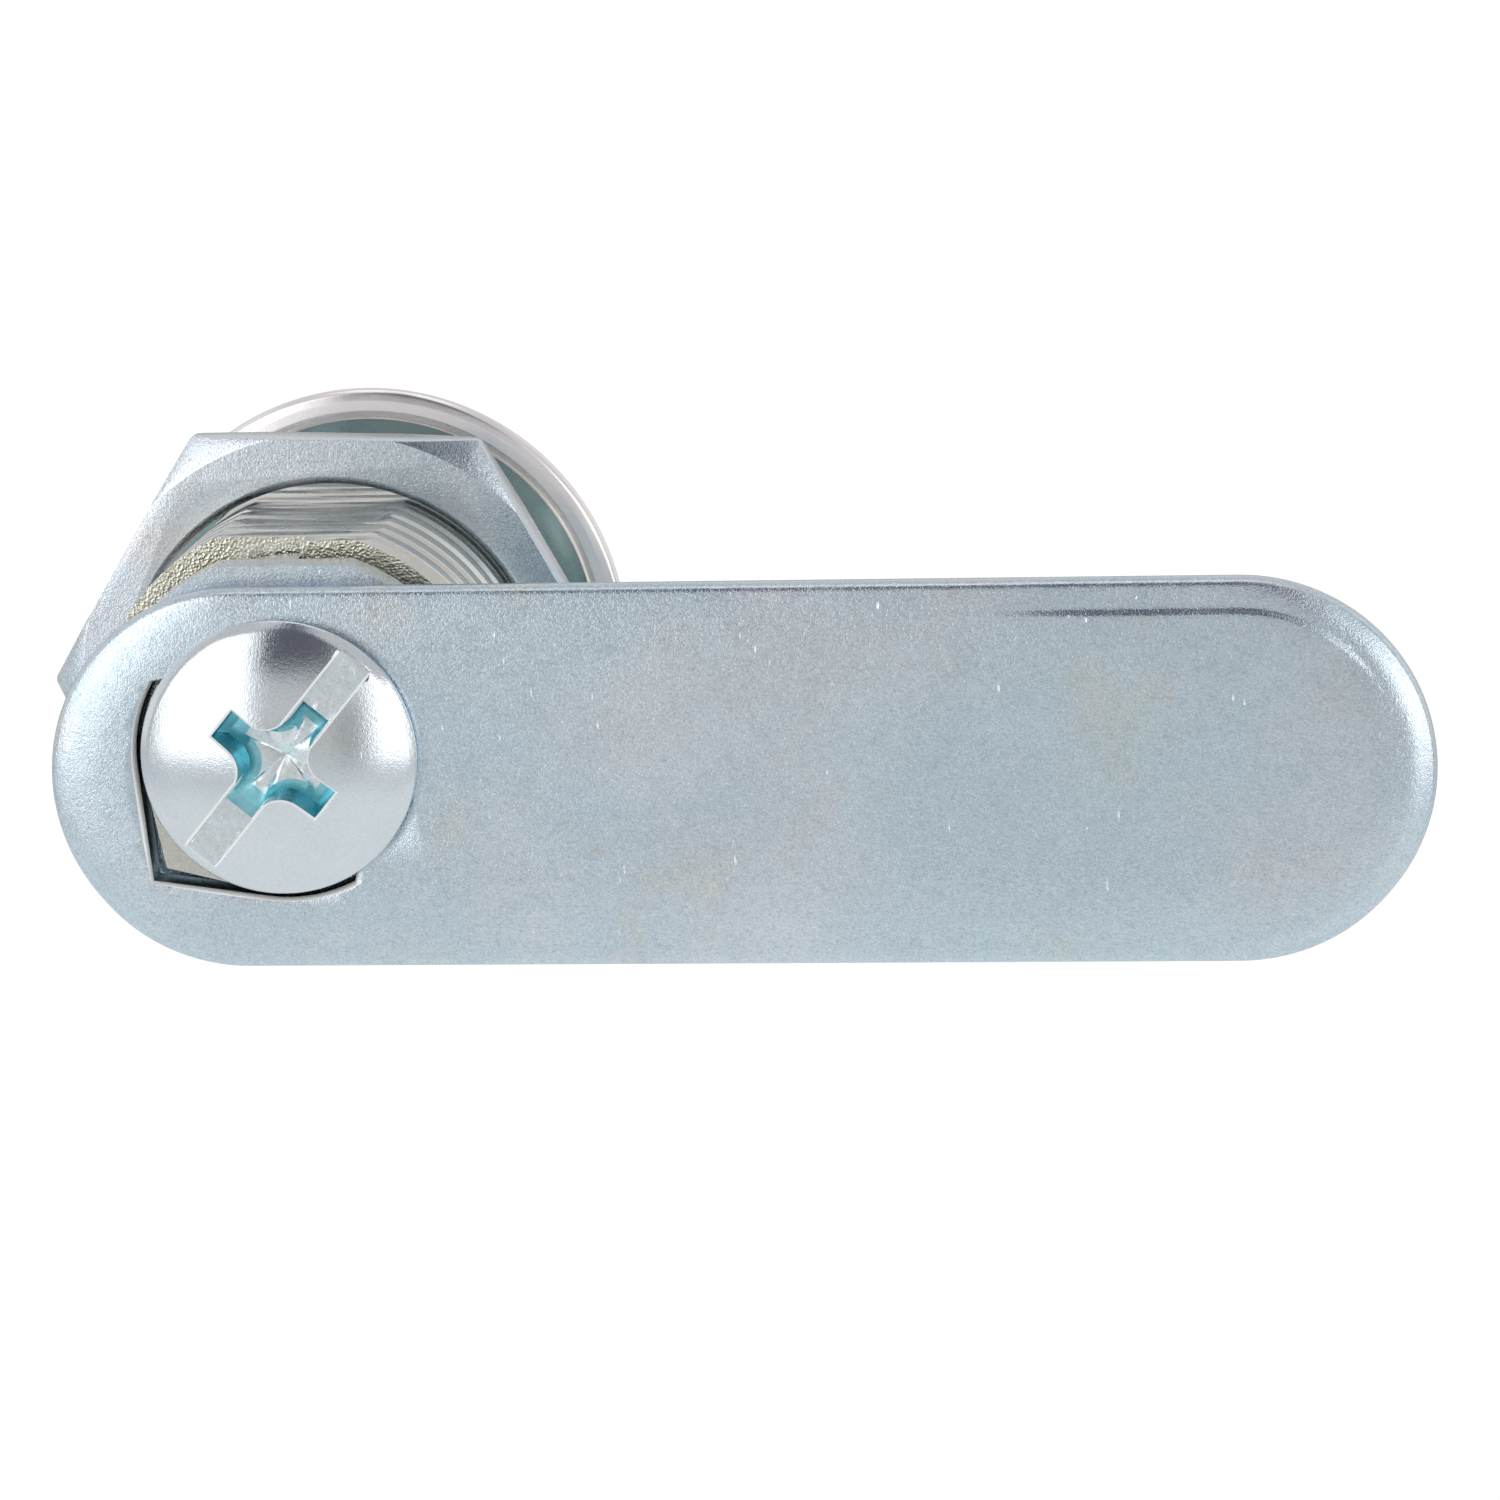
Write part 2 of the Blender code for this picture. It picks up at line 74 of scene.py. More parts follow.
# Housing
THREAD_RADIUS = 8.85
THREAD_PITCH = 1.8
THREAD_DEPTH = 0.45
THREAD_START = 1.0
THREAD_SHALLOW = 0.35
THREAD_FADE = (6.0, 3.6)
BARREL_END = row_y("housing", 1)
BARREL_CHAMFER = 0.25
FLAT_DISTANCE = 8.15
FLATS_START = 0.2
HEAD_REAR = -0.6
BORE = 6.35
COUNTERBORE = 7.35
COUNTERBORE_FLOOR = -1.5
CHANNEL_HALF_WIDTH = 2.85
CHANNEL_REACH = 7.25
CHANNEL_Y = (0.7, 15.9)
STOP_RECESS_DEPTH = 1.1
STOP_SECTOR = (-22.0, 93.0)

# Face cap
CAP_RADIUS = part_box("face_cap")[1].x / MM
CAP_FRONT = row_y("face_cap", 0)
CAP_HOLE = 6.6
CAP_WALL = 0.45
CAP_LIP_RADIUS = 10.2
CAP_LIP_THICKNESS = 0.4
CAP_OUTLINE = (
    (CAP_RADIUS, -0.3), (11.35, -1.2), (10.8, -2.1), (10.0, -2.8), (9.0, CAP_FRONT), (CAP_HOLE, CAP_FRONT),
)

# Cam
CAM_LOW = row_y("cam", 0)
CAM_HIGH = row_y("cam", 1)
CAM_RADIUS = (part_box("cam")[1].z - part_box("cam")[0].z) / 2 / MM
CAM_MIDDLE_Z = (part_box("cam")[1].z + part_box("cam")[0].z) / 2 / MM
CAM_HUB_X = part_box("cam")[1].x / MM - CAM_RADIUS
CAM_TIP_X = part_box("cam")[0].x / MM + CAM_RADIUS
CAM_SPOT = (8.4, 0.1)

# Keyed hole
KEY_ARC_RADIUS = 6.15
KEY_SMALL_RADIUS = 4.9
KEY_CORNER_REACH = 7.85
KEY_CORNER_ANGLE = 223.5
KEY_ARC_HALF_ANGLE = 74.0
KEY_STEP_ANGLE = 14.0

# Screw
SCREW_LOW = row_y("cam_screw", 0)
SCREW_TOP = row_y("cam_screw", 1)
SCREW_RADIUS = 2.45
SCREW_SEAT = CAM_HIGH + 0.2
SCREW_RIM = SCREW_SEAT + 0.5
SCREW_HEAD_RADIUS = 5.8
SLOT_WIDTH = 1.45
SLOT_REACH = 5.4
SLOT_ANGLE = 130.0
CROSS_FLOOR = SCREW_SEAT + 0.2

# Nut
NUT_LOW = row_y("hex_nut", 0)
NUT_HIGH = row_y("hex_nut", 1)
NUT_ACROSS_FLATS = 22.0
NUT_BORE = 9.05
NUT_COUNTERSINK = 9.4
NUT_TURN = 1.7
NUT_CHAMFER_RADIUS = 11.3
NUT_CHAMFER_ANGLE = 27.0


# ---------------------------------------------------------------- mesh helpers


def place(x, y, z):
    """Millimetres from the panel seat to the row frame."""
    return Vector((x * MM, (y + SEAT) * MM, z * MM))


def make_object(name, bm, finish, sharp=35.0):
    bmesh.ops.recalc_face_normals(bm, faces=bm.faces[:])
    mesh = bpy.data.meshes.new(name)
    bm.to_mesh(mesh)
    bm.free()
    made = bpy.data.objects.new(name, mesh)
    bpy.context.scene.collection.objects.link(made)
    if finish is not None:
        mesh.materials.append(finish)
    mesh.shade_smooth()
    mesh.set_sharp_from_angle(angle=math.radians(sharp))
    return made


def bake(target, sharp=35.0):
    """Applies the object's modifiers to its mesh."""
    depsgraph = bpy.context.evaluated_depsgraph_get()
    mesh = bpy.data.meshes.new_from_object(target.evaluated_get(depsgraph))
    target.modifiers.clear()
    target.data = mesh
    mesh.shade_smooth()
    mesh.set_sharp_from_angle(angle=math.radians(sharp))
    return target


def combine(target, cutters, operation="DIFFERENCE", transfer=False):
    """One exact Boolean after another; the cutters are removed afterwards."""
    for cutter in cutters:
        boolean = target.modifiers.new("cut", "BOOLEAN")
        boolean.operation = operation
        boolean.solver = "EXACT"
        boolean.object = cutter
        if transfer:
            boolean.material_mode = "TRANSFER"
    bake(target)
    for cutter in cutters:
        bpy.data.objects.remove(cutter, do_unlink=True)
    return target


def soften(target, width, segments, angle):
    """Rounds the sharp edges of a finished mesh by a small bevel."""
    bevel = target.modifiers.new("soften", "BEVEL")
    bevel.width = width * MM
    bevel.segments = segments
    bevel.limit_method = "ANGLE"
    bevel.angle_limit = math.radians(angle)
    bevel.use_clamp_overlap = True
    return bake(target, 60.0)


def fillet(points, radius, steps=4):
    """Rounds the corners of a closed 2-D outline; radius is one number or one per corner."""
    count = len(points)
    radii = radius if isinstance(radius, (list, tuple)) else [radius] * count
    rounded = []
    for i, corner in enumerate(points):
        here = Vector(corner)
        before = Vector(points[i - 1]) - here
        after = Vector(points[(i + 1) % count]) - here
        if radii[i] <= 0 or before.length < 1e-6 or after.length < 1e-6:
            rounded.append(tuple(here))
            continue
        half = before.angle(after) / 2
        if half > math.radians(88):
            rounded.append(tuple(here))
            continue
        reach = min(radii[i] / math.tan(half), before.length * 0.48, after.length * 0.48)
        start = here + before.normalized() * reach
        end = here + after.normalized() * reach
        for k in range(steps + 1):
            t = k / steps
            point = (1 - t) ** 2 * start + 2 * t * (1 - t) * here + t**2 * end
            rounded.append(tuple(point))
    return rounded


def arc(centre, radius, start, end, steps):
    """Points on an arc, angles in degrees, both ends included."""
    angles = [math.radians(start + (end - start) * i / steps) for i in range(steps + 1)]
    return [(centre[0] + radius * math.cos(a), centre[1] + radius * math.sin(a)) for a in angles]


def turn(points, degrees):
    c, s = math.cos(math.radians(degrees)), math.sin(math.radians(degrees))
    return [(x * c - z * s, x * s + z * c) for x, z in points]


def add_ring(bm, outline, y):
    return [bm.verts.new(place(x, y, z)) for x, z in outline]


def bridge(bm, first, second):
    count = len(first)
    for i in range(count):
        j = (i + 1) % count
        bm.faces.new((first[i], first[j], second[j], second[i]))


def lathe(bm, profile, segments=FINE):
    """A closed (radius, y) profile turned about the axis; a point at radius 0 is a pole."""
    rings = []
    for radius, y in profile:
        if radius == 0:
            rings.append([bm.verts.new(place(0, y, 0))] * segments)
        else:
            rings.append(add_ring(bm, arc((0, 0), radius, 0, 360, segments)[:-1], y))
    for k, ring in enumerate(rings):
        following = rings[(k + 1) % len(rings)]
        for i in range(segments):
            j = (i + 1) % segments
            corners = []
            for vert in (ring[i], ring[j], following[j], following[i]):
                if vert not in corners:
                    corners.append(vert)
            if len(corners) > 2:
                bm.faces.new(corners)


def lathe_object(name, profile, finish=None, segments=FINE):
    bm = bmesh.new()
    lathe(bm, profile, segments)
    return make_object(name, bm, finish)


def prism(name, outline, y_low, y_high, finish=None):
    bm = bmesh.new()
    low, high = add_ring(bm, outline, y_low), add_ring(bm, outline, y_high)
    bridge(bm, low, high)
    bm.faces.new(low)
    bm.faces.new(high)
    return make_object(name, bm, finish)


def rectangle(x_low, x_high, z_low, z_high):
    return [(x_low, z_low), (x_high, z_low), (x_high, z_high), (x_low, z_high)]


def smooth_step(low, high, value):
    """0 below low, 1 above high and smooth between; high may be the smaller of the two."""
    t = min(1.0, max(0.0, (value - low) / (high - low)))
    return t * t * (3 - 2 * t)


# ---------------------------------------------------------------- materials


class Nodes:
    """Short calls for building a shader's node tree."""

    def __init__(self, tree):
        self.tree = tree
        tree.nodes.clear()

    def add(self, kind, **inputs):
        node = self.tree.nodes.new(kind)
        for key, value in inputs.items():
            self.set(node, key, value)
        return node

    def set(self, node, key, value):
        names = {key, key.replace("_", " ")}
        for socket in node.inputs:
            if socket.name in names:
                if isinstance(value, bpy.types.NodeSocket):
                    self.tree.links.new(value, socket)
                else:
                    socket.default_value = value
                return
        setattr(node, key, value)

    def math(self, operation, a, b=0.0, c=0.0, clamp=False):
        node = self.tree.nodes.new("ShaderNodeMath")
        node.operation = operation
        node.use_clamp = clamp
        for socket, value in zip(node.inputs, (a, b, c)):
            if isinstance(value, bpy.types.NodeSocket):
                self.tree.links.new(value, socket)
            else:
                socket.default_value = value
        return node.outputs[0]

    def mix(self, factor, a, b, blend="MIX"):
        """Mixes two colours."""
        node = self.tree.nodes.new("ShaderNodeMix")
        node.data_type = "RGBA"
        node.blend_type = blend
        for socket, value in ((node.inputs[0], factor), (node.inputs[6], a), (node.inputs[7], b)):
            if isinstance(value, bpy.types.NodeSocket):
                self.tree.links.new(value, socket)
            elif isinstance(value, (tuple, list)):
                socket.default_value = (*value, 1.0)
            else:
                socket.default_value = value
        return node.outputs[2]

    def ramp(self, value, low, high, to_low=0.0, to_high=1.0):
        """Maps low..high to to_low..to_high smoothly, clamped."""
        node = self.tree.nodes.new("ShaderNodeMapRange")
        node.interpolation_type = "SMOOTHSTEP"
        for socket, item in zip(node.inputs, (value, low, high, to_low, to_high)):
            if isinstance(item, bpy.types.NodeSocket):
                self.tree.links.new(item, socket)
            else:
                socket.default_value = item
        return node.outputs[0]

    def noise(self, coordinates, scale, detail=3.0, roughness=0.55, stretch=None):
        if stretch is not None:
            mapping = self.add("ShaderNodeMapping", Vector=coordinates, Scale=stretch)
            coordinates = mapping.outputs[0]
        node = self.add("ShaderNodeTexNoise", Vector=coordinates, Scale=scale, Detail=detail)
        self.set(node, "Roughness", roughness)
        return node.outputs[0]


def scratches(nodes, position, scale, turned, length, keep):
    """Sparse short bright lines: stretched cells whose thin middle survives where a noise allows it."""
    mapping = nodes.add("ShaderNodeMapping", Vector=position, Rotation=turned, Scale=(1.0, 1.0, length))
    cells = nodes.add("ShaderNodeTexVoronoi", Vector=mapping.outputs[0], Scale=scale)
    line = nodes.ramp(cells.outputs["Distance"], 0.02, 0.10, 1.0, 0.0)
    some = nodes.ramp(nodes.noise(position, scale * 0.35, 1.0), keep, keep + 0.06)
    return nodes.math("MULTIPLY", line, some)


# Scale, turn, stretch and threshold of each family of scratches
SCRATCH_FAMILIES = (
    (2300.0, (0.3, 0.5, 0.2), 0.20, 0.56),
    (1900.0, (0.1, -0.6, 0.0), 0.16, 0.58),
    (1400.0, (0.0, 1.3, 0.4), 0.12, 0.60),
)


def metal(name, base, tints=(), rough=0.25, rough_range=0.08, grain=0.02, speckle=0.1, wave=0.0,
          wave_scale=350.0, glitter=0.0, scratch=0.0, outline=0.0, below=None, metallic=1.0):
    """A plated or cast metal: patchy colour, grain, small scratches, and painted shade that darkens surfaces
    at grazing angles.

    tints is a list of (colour, noise scale, low, high, amount): the colour shows where that noise is high.
    below is (y in millimetres from the panel seat, colour): the colour shows in front of that plane;
    cast_zinc uses it for painted shade.
    wave is a slow unevenness of the surface, glitter the facets of a cast skin, outline the strength of the
    painted shade at grazing angles.
    """
    made = bpy.data.materials.new(name)
    made.use_nodes = True
    nodes = Nodes(made.node_tree)
    position = nodes.add("ShaderNodeTexCoord").outputs["Object"]
    colour = nodes.mix(nodes.ramp(nodes.noise(position, 160.0), 0.35, 0.65), base, [c * 0.95 for c in base])
    for number, (tint, scale, low, high, amount) in enumerate(tints):
        shifted = nodes.add("ShaderNodeMapping", Vector=position, Location=(0.3 * number, 0.7, 0.1 * number))
        patch = nodes.ramp(nodes.noise(shifted.outputs[0], scale, 4.0), low, high, 0.0, amount)
        colour = nodes.mix(patch, colour, tint)
    if below is not None:
        y = nodes.add("ShaderNodeSeparateXYZ", Vector=position).outputs[1]
        level = (below[0] + SEAT) * MM
        colour = nodes.mix(nodes.ramp(y, level - 0.1 * MM, level + 0.1 * MM, 1.0, 0.0), colour, below[1])
    fine = nodes.noise(position, 17000.0, 1.0, 0.6)
    medium = nodes.noise(position, 7000.0, 2.0, 0.6)
    coarse = nodes.noise(position, 2200.0, 2.0, 0.6)
    for noise, share in ((fine, 1.0), (medium, 0.7), (coarse, 0.3)):
        lighter = nodes.ramp(noise, 0.5, 0.78, 0.0, speckle * share)
        darker = nodes.ramp(noise, 0.22, 0.5, speckle * share, 0.0)
        colour = nodes.mix(lighter, colour, [min(1.0, c * 1.9) for c in base])
        colour = nodes.mix(darker, colour, [c * 0.35 for c in base])
    uneven = nodes.noise(position, 420.0, 3.0)
    roughness = nodes.ramp(uneven, 0.3, 0.7, rough - rough_range, rough + rough_range)
    height = nodes.math("ADD", nodes.math("MULTIPLY", fine, 0.5), nodes.math("MULTIPLY", medium, 0.5))
    if scratch > 0:
        marks = 0.0
        for family in SCRATCH_FAMILIES:
            marks = nodes.math("ADD", marks, scratches(nodes, position, *family), clamp=True)
        colour = nodes.mix(nodes.math("MULTIPLY", marks, scratch), colour, (0.97, 0.98, 0.98))
        height = nodes.math("SUBTRACT", height, nodes.math("MULTIPLY", marks, 0.6))
    # Painted shade: the colour darkens towards the silhouette, where the surface turns away from the view.
    if outline > 0:
        facing = nodes.add("ShaderNodeLayerWeight", Blend=0.5).outputs["Facing"]
        colour = nodes.mix(nodes.ramp(facing, 0.72, 0.97, 0.0, outline), colour, [c * 0.22 for c in base])
    normal = None
    if wave > 0:
        bump = nodes.add("ShaderNodeBump", Height=nodes.noise(position, wave_scale, 2.0), Strength=wave)
        bump.inputs["Distance"].default_value = 0.0004
        normal = bump.outputs[0]
    bump = nodes.add("ShaderNodeBump", Height=height, Strength=grain)
    bump.inputs["Distance"].default_value = 0.00005
    if normal is not None:
        nodes.set(bump, "Normal", normal)
    normal = bump.outputs[0]
    if glitter > 0:
        cells = nodes.add("ShaderNodeTexVoronoi", Vector=position, Scale=8500.0)
        bump = nodes.add("ShaderNodeBump", Height=cells.outputs["Distance"], Strength=glitter, Normal=normal)
        bump.inputs["Distance"].default_value = 0.00006
        normal = bump.outputs[0]
    surface = nodes.add("ShaderNodeBsdfPrincipled", Base_Color=colour, Metallic=metallic, Roughness=roughness,
                        Normal=normal)
    output = nodes.add("ShaderNodeOutputMaterial")
    nodes.tree.links.new(surface.outputs[0], output.inputs["Surface"])
    return made


PINK = (0.74, 0.64, 0.61)
YELLOW = (0.72, 0.67, 0.52)
TEAL = (0.20, 0.34, 0.37)
BLUE = (0.42, 0.55, 0.64)
RUST = (0.58, 0.38, 0.20)

ZINC_PLATE = metal(
    "zinc_plate", (0.68, 0.735, 0.80),
    tints=[((0.53, 0.68, 0.77), 60.0, 0.42, 0.62, 0.6), (PINK, 110.0, 0.55, 0.7, 0.4),
           (YELLOW, 160.0, 0.58, 0.72, 0.3), (RUST, 420.0, 0.70, 0.78, 0.45)],
    rough=0.19, rough_range=0.05, grain=0.5, speckle=0.36, wave=0.08, scratch=0.7, outline=0.45,
)
# The colour in front of y -0.2 mm is painted shade: a dark teal on the head's rear face, in the narrow recess
# inside the cap's lip behind the nut.
CAST_ZINC = metal(
    "cast_zinc", (0.74, 0.73, 0.70),
    tints=[(YELLOW, 300.0, 0.45, 0.7, 0.3)],
    rough=0.24, grain=0.08, speckle=0.1, outline=0.3, below=(-0.2, (0.32, 0.45, 0.46)),
)
CAST_FACE = metal(
    "cast_face", (0.90, 0.86, 0.72),
    tints=[((0.50, 0.46, 0.33), 5600.0, 0.5, 0.6, 0.6), ((1.0, 0.98, 0.86), 6200.0, 0.52, 0.62, 0.7)],
    rough=0.25, grain=0.3, speckle=0.4, glitter=0.4,
)
CAP_NICKEL = metal(
    "cap_nickel", (0.93, 0.89, 0.89),
    tints=[(TEAL, 60.0, 0.6, 0.8, 0.08)],
    rough=0.24, rough_range=0.04, grain=0.08, speckle=0.05, wave=0.03, outline=0.8,
)
SCREW_ZINC = metal(
    "screw_zinc", (0.74, 0.785, 0.825),
    tints=[(BLUE, 200.0, 0.55, 0.8, 0.12)],
    rough=0.13, rough_range=0.03, grain=0.2, speckle=0.12, wave=0.03, scratch=0.35, outline=0.35,
)
# Painted shade: a darker teal copy of the screw's zinc for the walls of the cross recess.
RECESS_WALL_PAINTED_SHADE = metal(
    "recess_wall_painted_shade", (0.30, 0.66, 0.74),
    tints=[((0.14, 0.42, 0.50), 500.0, 0.45, 0.65, 0.6)],
    rough=0.25, grain=0.15,
)
RECESS_PALE = metal(
    "recess_pale", (0.80, 0.86, 0.885),
    tints=[(BLUE, 500.0, 0.5, 0.75, 0.3)],
    rough=0.2, grain=0.2, speckle=0.2, wave=0.25, wave_scale=900.0,
)
# Painted highlight: plain white for the rolled edge of the cam's hole and the flares of the screw's slot and
# cross.
PAINTED_EDGE_HIGHLIGHT = metal("painted_edge_highlight", (1.0, 1.0, 1.0), rough=0.4, grain=0.1, speckle=0.05, metallic=0.15)
# Painted shade: a dark colour for the wall of the cam's hole, which lies in the shadow of the screw's head.
HOLE_WALL_PAINTED_SHADE = metal("hole_wall_painted_shade", (0.16, 0.24, 0.27), rough=0.3, grain=0.2)
PLUG_ZINC = metal(
    "plug_zinc", (0.62, 0.61, 0.56),
    tints=[(YELLOW, 300.0, 0.5, 0.7, 0.3)],
    rough=0.25, grain=0.3, speckle=0.15,
)
WAFER_BRASS = metal("wafer_brass", (0.80, 0.60, 0.28), tints=[((0.55, 0.38, 0.18), 400.0, 0.5, 0.7, 0.5)],
                    rough=0.26, grain=0.2, scratch=0.2)
SPRING_STEEL = metal("spring_steel", (0.55, 0.55, 0.57), tints=[((0.35, 0.33, 0.30), 700.0, 0.5, 0.7, 0.4)],
                     rough=0.24, grain=0.15)


# ---------------------------------------------------------------- pieces


def thread_depth(phase):
    """Depth of the groove, as a share of the full depth, at a phase of one pitch."""
    across = abs(phase % 1.0 - 0.5)
    if across < 0.03:
        return 1.0
    if across > 0.25:
        return 0.0
    return 1.0 - smooth_step(0.02, 0.25, across) * 0.35 - 0.65 * (across - 0.03) / 0.22


THREAD_PHASES = (
    0.0, 0.12, 0.235, 0.255, 0.28, 0.33, 0.40, 0.455, 0.5, 0.545, 0.60, 0.67, 0.72, 0.745, 0.765, 0.88,
)


def add_thread(bm, radius, depth, start, end, pitch, chamfer):
    """A threaded skin whose rows follow the helix, shallow near its start and chamfered at its end."""
    step = len(THREAD_PHASES)
    pitches = math.ceil((end - start) / pitch)
    rows = range(-step, (pitches + 1) * step)

    def vertex_at(row, column):
        base, inner = divmod(row, step)
        angle = column / FINE
        y = start + pitch * (base + THREAD_PHASES[inner] + angle)
        y = min(end, max(start, y))
        phase = (y - start) / pitch - angle
        fade = smooth_step(0.0, pitch, y - start)
        full = smooth_step(end - THREAD_FADE[0], end - THREAD_FADE[1], y)
        fade *= THREAD_SHALLOW + (1 - THREAD_SHALLOW) * full
        r = min(radius - depth * thread_depth(phase) * fade, radius - chamfer + (end - y))
        a = -2 * math.pi * column / FINE
        return place(r * math.cos(a), y, r * math.sin(a))

    grid = {(row, column): bm.verts.new(vertex_at(row, column)) for row in rows for column in range(FINE)}
    for row in rows:
        for column in range(FINE):
            if column < FINE - 1:
                corners = [(row, column), (row, column + 1), (row + 1, column + 1), (row + 1, column)]
            else:
                corners = [(row, column), (row + step, 0), (row + step + 1, 0), (row + 1, column)]
            if all(corner in grid for corner in corners):
                bm.faces.new([grid[corner] for corner in corners])


def loop_at(bm, y, tolerance=1e-4):
    """The vertices of one end ring, in order of angle."""
    level = (y + SEAT) * MM
    found = [v for v in bm.verts if abs(v.co.y - level) < tolerance * MM]
    return sorted(found, key=lambda v: math.atan2(v.co.z, v.co.x))


def ordered_ring(bm, radius, y):
    """A ring in the same order as loop_at's."""
    ring = add_ring(bm, arc((0, 0), radius, 0, 360, FINE)[:-1], y)
    return sorted(ring, key=lambda v: math.atan2(v.co.z, v.co.x))


def build_housing():
    """The threaded barrel with its flats, head, bore and channels, and the recess for the washer's lug."""
    bm = bmesh.new()
    add_thread(bm, THREAD_RADIUS, THREAD_DEPTH, THREAD_START, BARREL_END, THREAD_PITCH, BARREL_CHAMFER)
    bmesh.ops.remove_doubles(bm, verts=bm.verts[:], dist=1e-7)
    bmesh.ops.dissolve_degenerate(bm, edges=bm.edges[:], dist=1e-8)
    first, last = loop_at(bm, THREAD_START), loop_at(bm, BARREL_END)
    head = shell_outline(CAP_WALL + 0.15, HEAD_REAR)[:-1]
    profile = [
        (BORE + 0.15, BARREL_END),
        (BORE, BARREL_END - 0.15),
        (BORE, COUNTERBORE_FLOOR),
        (COUNTERBORE, COUNTERBORE_FLOOR),
        (COUNTERBORE, head[-1][1]),
        *reversed(head),
        (THREAD_RADIUS + 0.2, HEAD_REAR),
        (THREAD_RADIUS, HEAD_REAR + 0.2),
    ]
    rings = [last] + [ordered_ring(bm, radius, y) for radius, y in profile] + [first]
    for one, two in zip(rings, rings[1:]):
        bridge(bm, one, two)
    housing = make_object("housing_threaded", bm, CAST_ZINC)
    housing.data.materials.append(CAST_FACE)
    far = 2 * THREAD_RADIUS
    cutters = []
    for side in (-1, 1):
        outline = rectangle(-far, far, *sorted((side * FLAT_DISTANCE, side * far)))
        cutters.append(prism("flat_cutter", outline, FLATS_START, BARREL_END + 1))
    w, reach = CHANNEL_HALF_WIDTH, CHANNEL_REACH
    cross = [(reach, -w), (reach, w), (w, w), (w, reach), (-w, reach), (-w, w)]
    cross += [(-x, -z) for x, z in cross]
    cutters.append(prism("channel_cutter", cross, *CHANNEL_Y))
    sector = arc((0, 0), far, *STOP_SECTOR, 24) + arc((0, 0), BORE - 1, *reversed(STOP_SECTOR), 24)
    cutters.append(prism("stop_recess_cutter", sector, BARREL_END - STOP_RECESS_DEPTH, BARREL_END + 1))
    combine(housing, cutters)
    for face in housing.data.polygons:
        if face.normal.y > 0.9 and face.center.y > (BARREL_END - STOP_RECESS_DEPTH - 0.3 + SEAT) * MM:
            face.material_index = 1
    return housing


def shell_outline(depth, start_y):
    """The cap's outline, rim first, moved inwards by depth and cut off at start_y."""
    points = []
    for k, (radius, y) in enumerate(CAP_OUTLINE):
        normals = []
        for first, second in ((k - 1, k), (k, k + 1)):
            if first >= 0 and second < len(CAP_OUTLINE):
                step = Vector(CAP_OUTLINE[second]) - Vector(CAP_OUTLINE[first])
                normals.append(Vector((step.y, -step.x)).normalized())
        middle = sum(normals, Vector((0, 0))).normalized()
        points.append(Vector((radius, y)) + middle * depth / middle.dot(normals[0]))
    first, second = points[0], points[1]
    points[0] = first + (second - first) * (start_y - first.y) / (second.y - first.y)
    return [(point.x, point.y) for point in points]


def build_face_cap():
    """The thin bright cap: a domed rim, a rolled hole edge and a lip crimped behind the head."""
    inside = shell_outline(CAP_WALL, -CAP_LIP_THICKNESS)
    outside = list(reversed(CAP_OUTLINE))[1:-1]
    corners = [
        (CAP_HOLE, CAP_FRONT + 0.12),
        (CAP_HOLE + 0.25, CAP_FRONT),
        *outside,
        (CAP_RADIUS, -0.55),
        (CAP_RADIUS - 0.06, -0.34),
        (CAP_RADIUS - 0.20, -0.18),
        (11.05, -0.07),
        (10.62, 0.0),
        (CAP_LIP_RADIUS + 0.16, 0.0),
        (CAP_LIP_RADIUS, -0.10),
        (CAP_LIP_RADIUS, -CAP_LIP_THICKNESS),
        *inside,
    ]
    rim = [0.2, 0.2, 0.3, 0.5, 0.5, 0.1, 0.08, 0]
    radii = [0.08, 0.1] + [1.2] * len(outside) + rim + [0] * len(inside)
    return lathe_object("face_cap_crimped", fillet(corners, radii, 5), CAP_NICKEL)


def keyed_outline(offset):
    """The keyed hole's outline, grown by offset: two arcs, and one corner whose sides touch the large arc."""
    large, small = KEY_ARC_RADIUS + offset, KEY_SMALL_RADIUS + offset
    corner = KEY_CORNER_REACH + offset * KEY_CORNER_REACH / KEY_ARC_RADIUS
    tangent = math.degrees(math.acos(large / corner))
    points = arc((0, 0), large, -KEY_ARC_HALF_ANGLE, -tangent, 12)
    points.append((corner, 0.0))
    points += arc((0, 0), large, tangent, KEY_ARC_HALF_ANGLE, 12)
    small_start = KEY_ARC_HALF_ANGLE + KEY_STEP_ANGLE
    points += arc((0, 0), small, small_start, 360 - small_start, 40)
    return [(-x, z) for x, z in turn(points, KEY_CORNER_ANGLE)]


def stadium(inset):
    """The cam's outline moved inwards by inset; every inset gives the same number of points."""
    hub, tip = (CAM_HUB_X, CAM_MIDDLE_Z), (CAM_TIP_X, CAM_MIDDLE_Z)
    radius = CAM_RADIUS - inset
    steps = 60
    along = 48
    points = arc(hub, radius, -90, 90, steps)
    top = [(hub[0] + (tip[0] - hub[0]) * i / along, CAM_MIDDLE_Z + radius) for i in range(1, along)]
    points += top + arc(tip, radius, 90, 270, steps)
    points += [(x, CAM_MIDDLE_Z - radius) for x, _ in reversed(top)]
    return points


# Rings of the cam's outer face, as distances in from its outline
EDGE_INSETS = (
    0.0, 0.03, 0.06, 0.10, 0.14, 0.17, 0.20, 0.24, 0.30, 0.38, 0.48, 0.60, 0.75, 0.90, 1.05, 1.18, 1.24, 1.32,
    1.40, 1.48, 1.65, 1.9, 2.1, 2.3, 2.7, 3.2, 3.8, 4.5,
)

# The worn inner edge: distances in from the outline, and up from the inner face
BACK_EDGE = ((0.32, 0.0), (0.18, 0.16), (0.08, 0.32), (0.0, 0.52))


